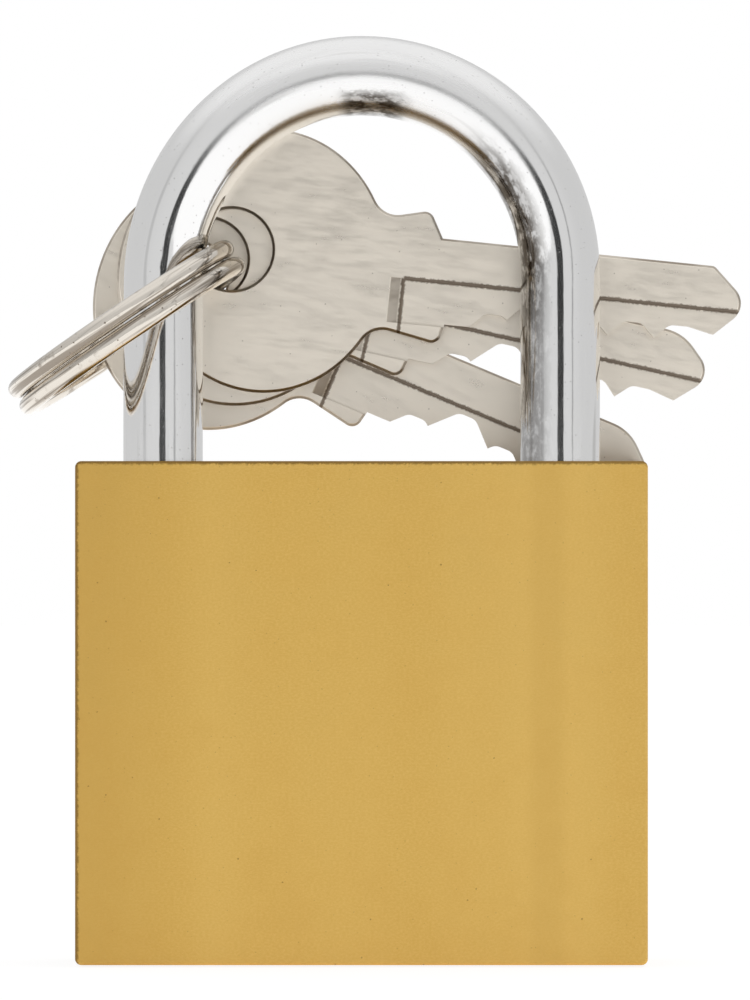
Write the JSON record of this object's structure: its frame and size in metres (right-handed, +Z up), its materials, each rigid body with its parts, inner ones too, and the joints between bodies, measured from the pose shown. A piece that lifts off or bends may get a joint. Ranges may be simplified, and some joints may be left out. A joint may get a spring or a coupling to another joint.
{
  "type": "padlock with keys",
  "caption": "Solid rectangular padlock with a round U-shaped shackle, a split ring on one leg and flat pin-tumbler keys with round bows.",
  "frame": {"origin": "centre of the body's bottom face", "axes": "+Z up towards the shackle's crown, +X towards the toe leg, +Y from the front face to the back face"},
  "size_m": [0.0647, 0.0236, 0.0815],
  "materials": {
    "body_brass": "satin, fine ground grain",
    "fixed_brass": "satin, pressed in flush",
    "plug_brass": "turned",
    "inner_brass": "turned",
    "shackle_chrome": "polished, chrome plated steel",
    "steel_pin": "ground",
    "spring_steel": "drawn wire",
    "ring_nickel": "polished nickel plate",
    "key_nickel": "satin nickel plate, light brushing"
  },
  "bodies": {
    "lock": {"body": "body_brass", "shackle_spring": "spring_steel", "heel_stop_pin": "steel_pin", "latch_bore_plug": "fixed_brass", "plug_retaining_pin": "fixed_brass", "chamber_plug_1": "fixed_brass", "chamber_plug_2": "fixed_brass", "chamber_plug_3": "fixed_brass", "chamber_plug_4": "fixed_brass", "chamber_plug_5": "fixed_brass", "pin_spring_1": "spring_steel", "pin_spring_2": "spring_steel", "pin_spring_3": "spring_steel", "pin_spring_4": "spring_steel", "pin_spring_5": "spring_steel"},
    "plug": {"cylinder_plug": "plug_brass", "cam": "steel_pin"},
    "toe_latch": {"latch_toe": "inner_brass", "latch_toe_spring": "spring_steel"},
    "heel_latch": {"latch_heel": "inner_brass", "latch_heel_spring": "spring_steel"},
    "shackle": {"shackle": "shackle_chrome"},
    "ring": {"split_ring": "ring_nickel"},
    "key_1": {"key_1": "key_nickel"},
    "key_2": {"key_2": "key_nickel"},
    "key_3": {"key_3": "key_nickel"},
    "key_pin_1": {"key_pin_1": "inner_brass"},
    "key_pin_2": {"key_pin_2": "inner_brass"},
    "key_pin_3": {"key_pin_3": "inner_brass"},
    "key_pin_4": {"key_pin_4": "inner_brass"},
    "key_pin_5": {"key_pin_5": "inner_brass"},
    "driver_pin_1": {"driver_pin_1": "inner_brass"},
    "driver_pin_2": {"driver_pin_2": "inner_brass"},
    "driver_pin_3": {"driver_pin_3": "inner_brass"},
    "driver_pin_4": {"driver_pin_4": "inner_brass"},
    "driver_pin_5": {"driver_pin_5": "inner_brass"}
  },
  "joints": [
    {"name": "key_turn", "type": "hinge", "parent": "lock", "child": "plug", "pos_m": [0, 0, 0], "axis": [0, 0, 1], "range_deg": [0, 90], "stiffness_Nm_per_rad": 0.02, "springref_deg": -11.46},
    {"name": "toe_latch_slide", "type": "slide", "parent": "lock", "child": "toe_latch", "axis": [-1, 0, 0], "range_m": [0, 0.004], "deforming": ["latch_toe_spring"]},
    {"name": "heel_latch_slide", "type": "slide", "parent": "lock", "child": "heel_latch", "axis": [1, 0, 0], "range_m": [0, 0.004], "deforming": ["latch_heel_spring"]},
    {"name": "shackle_lift", "type": "slide", "parent": "lock", "child": "shackle", "axis": [0, 0, 1], "range_m": [0, 0.012], "deforming": ["shackle_spring"]},
    {"name": "key_pin_1_drop", "type": "slide", "parent": "plug", "child": "key_pin_1", "axis": [-1, 0, 0], "range_m": [0, 0.0026]},
    {"name": "key_pin_2_drop", "type": "slide", "parent": "plug", "child": "key_pin_2", "axis": [-1, 0, 0], "range_m": [0, 0.0008]},
    {"name": "key_pin_3_drop", "type": "slide", "parent": "plug", "child": "key_pin_3", "axis": [-1, 0, 0], "range_m": [0, 0.0022]},
    {"name": "key_pin_4_drop", "type": "slide", "parent": "plug", "child": "key_pin_4", "axis": [-1, 0, 0], "range_m": [0, 0.002]},
    {"name": "key_pin_5_drop", "type": "slide", "parent": "plug", "child": "key_pin_5", "axis": [-1, 0, 0], "range_m": [0, 0.0019]},
    {"name": "driver_pin_1_lift", "type": "slide", "parent": "lock", "child": "driver_pin_1", "axis": [1, 0, 0], "range_m": [0, 0.002], "stiffness_N_per_m": 60, "springref_m": -0.003, "deforming": ["pin_spring_1"]},
    {"name": "driver_pin_2_lift", "type": "slide", "parent": "lock", "child": "driver_pin_2", "axis": [1, 0, 0], "range_m": [0, 0.002], "stiffness_N_per_m": 60, "springref_m": -0.003, "deforming": ["pin_spring_2"]},
    {"name": "driver_pin_3_lift", "type": "slide", "parent": "lock", "child": "driver_pin_3", "axis": [1, 0, 0], "range_m": [0, 0.002], "stiffness_N_per_m": 60, "springref_m": -0.003, "deforming": ["pin_spring_3"]},
    {"name": "driver_pin_4_lift", "type": "slide", "parent": "lock", "child": "driver_pin_4", "axis": [1, 0, 0], "range_m": [0, 0.002], "stiffness_N_per_m": 60, "springref_m": -0.003, "deforming": ["pin_spring_4"]},
    {"name": "driver_pin_5_lift", "type": "slide", "parent": "lock", "child": "driver_pin_5", "axis": [1, 0, 0], "range_m": [0, 0.002], "stiffness_N_per_m": 60, "springref_m": -0.003, "deforming": ["pin_spring_5"]},
    {"name": "ring_swing", "type": "hinge", "parent": "shackle", "child": "ring", "pos_m": [-0.0175, 0, 0.0558], "axis": [0, 0, 1], "range_deg": [0, 60]},
    {"name": "key_1_fan", "type": "hinge", "parent": "ring", "child": "key_1", "pos_m": [-0.0115, 0.0046, 0.0628], "axis": [0, 1, 0], "range_deg": [-20, 15]},
    {"name": "key_2_fan", "type": "hinge", "parent": "ring", "child": "key_2", "pos_m": [-0.01375, 0.0066, 0.062], "axis": [0, 1, 0], "range_deg": [-20, 6]},
    {"name": "key_3_fan", "type": "hinge", "parent": "ring", "child": "key_3", "pos_m": [-0.0156, 0.0086, 0.06025], "axis": [0, 1, 0], "range_deg": [-15, 14]}
  ],
  "couplings": [
    {"joint": "key_turn", "follows": "shackle_lift", "rad_per_m": 130.9},
    {"joint": "toe_latch_slide", "follows": "shackle_lift", "ratio": 0.33333},
    {"joint": "heel_latch_slide", "follows": "shackle_lift", "ratio": 0.33333}
  ]
}
